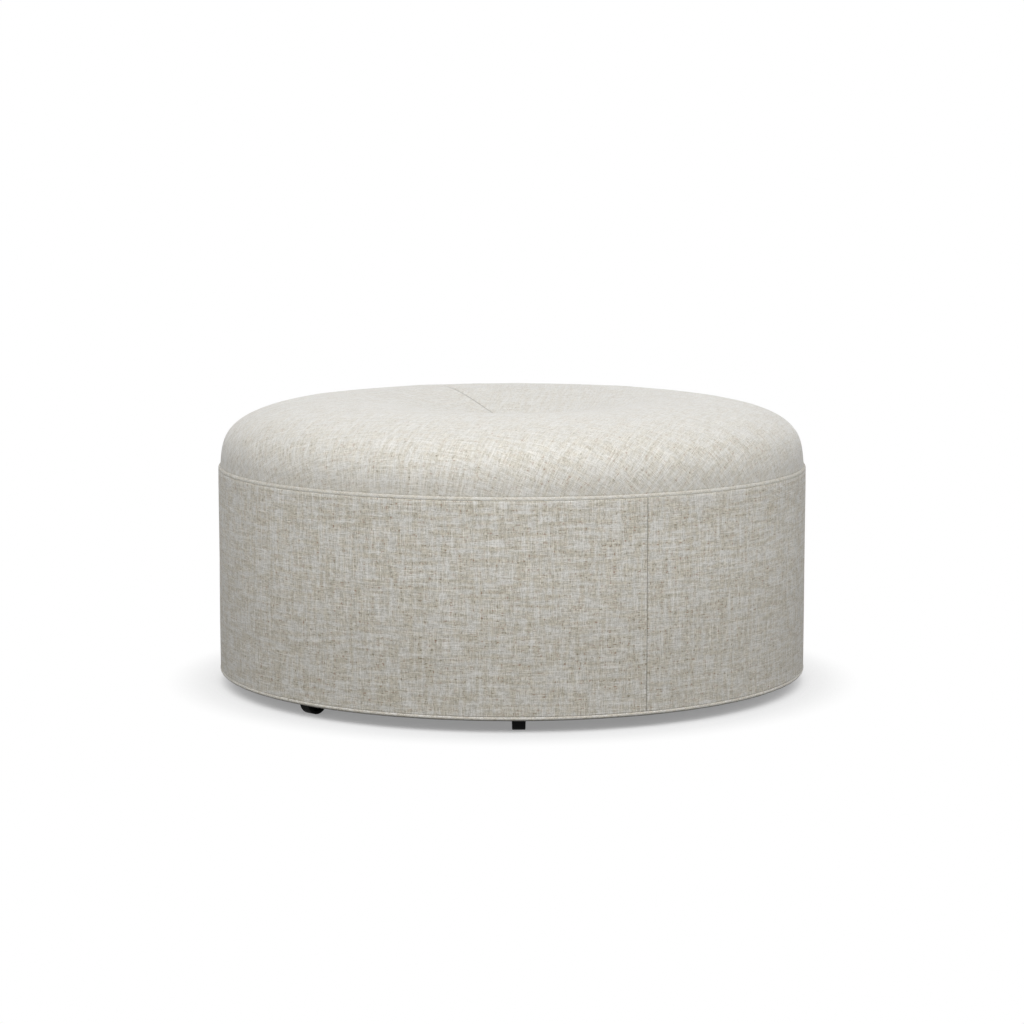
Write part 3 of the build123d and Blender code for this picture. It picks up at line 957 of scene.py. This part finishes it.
floor_bounce = 0.07  # what the floor throws back at the ottoman
floor_tone = 0.7
floor_glow = 0.27
shadow_reach = 0.465  # where the floor starts to turn to plain white
clear_reach = 0.51
contact_reach = 0.10
contact_shade = 0.52
world_light = 0.2
lens_length = 100  # millimetres, as the sensor's width
sensor_width = 36
camera_distance = 9.677  # from the axis, in band radii
camera_height = 1.7668  # above the lower edge, in band radii
camera_tilt = 7.305  # degrees down


def seen_directly(nodes, links):
    """One for the rays that show the floor or sky itself, to the camera or in gloss and glass."""
    path = nodes.new("ShaderNodeLightPath")
    seen = path.outputs["Is Camera Ray"]
    for kind in ("Is Glossy Ray", "Is Transmission Ray"):
        either = nodes.new("ShaderNodeMath")
        either.operation = "MAXIMUM"
        links.new(seen, either.inputs[0])
        links.new(path.outputs[kind], either.inputs[1])
        seen = either.outputs[0]
    return seen


def floor_and_backdrop():
    """White studio floor. Near the ottoman it keeps the ottoman's real shadow; farther out it glows plain
    white, with a painted contact shadow from ambient occlusion.
    """
    bpy.ops.mesh.primitive_plane_add(size=60, location=(0, 0, 0))
    floor = bpy.context.object
    floor.name = "studio_floor"
    paper = Finish("studio_white", Roughness=1.0, Specular_IOR_Level=0.0, Emission_Strength=1.0)
    x, y, z = paper.place()
    seen = Number(paper, seen_directly(paper.nodes, paper.links))
    away = (x * x + y * y).ramp(shadow_reach ** 2, clear_reach ** 2)
    # Painted contact shadow: ambient occlusion darkens the white glow that the camera sees
    near = paper.node("ShaderNodeAmbientOcclusion", {"samples": 8}, {"Distance": contact_reach})
    shade = (1 - Number(paper, near.outputs["AO"])) * contact_shade
    lit = paper.mix(seen, grey(floor_bounce), grey(floor_tone))
    paper.colour(paper.mix(away * seen, lit, grey(0)))
    glow = paper.mix(seen, grey(0), grey(floor_glow))
    clear = paper.mix(shade, grey(1), grey(0))
    paper.feed(paper.shader.inputs["Emission Color"], paper.mix(away * seen, glow, clear))
    floor.data.materials.append(paper.material)


def soft_box(name, place, aim, size, power):
    lamp = bpy.data.lights.new(name, "AREA")
    lamp.shape = "SQUARE"
    lamp.size = size
    lamp.energy = power
    holder = bpy.data.objects.new(name, lamp)
    holder.location = place
    holder.rotation_euler = (Vector(aim) - Vector(place)).to_track_quat("-Z", "Y").to_euler()
    bpy.context.scene.collection.objects.link(holder)


def studio():
    """White all round for the camera, a weak even light for the ottoman, and six soft lamps."""
    floor_and_backdrop()
    world = bpy.data.worlds.new("studio")
    world.use_nodes = True
    nodes, links = world.node_tree.nodes, world.node_tree.links
    sky = nodes["Background"]
    sky.inputs["Color"].default_value = (1, 1, 1, 1)
    level = nodes.new("ShaderNodeMapRange")
    level.inputs["To Min"].default_value = world_light
    level.inputs["To Max"].default_value = 1.0
    links.new(seen_directly(nodes, links), level.inputs["Value"])
    links.new(level.outputs["Result"], sky.inputs["Strength"])
    bpy.context.scene.world = world
    soft_box("front_softbox", (0.0, -2.5, 2.6), (0, 0, 0.3), 2.2, 66)
    soft_box("back_softbox", (0.0, 3.0, 3.0), (0, 0, 0.3), 3.0, 44)
    for side in (-1, 1):
        soft_box("high_softbox", (side * 4.0, -1.5, 4.2), (0, 0, 0.3), 4.0, 54)
        soft_box("low_softbox", (side * 5.0, -3.0, 1.6), (0, 0, 0.2), 3.0, 81 + 5 * side)
    bpy.context.scene.view_settings.view_transform = "Standard"


def photo_camera():
    """A long lens, level across, looking a little down on the ottoman's front."""
    camera = bpy.data.cameras.new("camera")
    camera.lens = lens_length
    camera.sensor_width = sensor_width
    camera.clip_end = 200
    holder = bpy.data.objects.new("camera", camera)
    holder.location = (0, -camera_distance * band_radius, bottom_welt_low.z + camera_height * band_radius)
    holder.rotation_euler = (math.radians(90 - camera_tilt), 0, 0)
    bpy.context.scene.collection.objects.link(holder)
    bpy.context.scene.camera = holder


studio()
photo_camera()
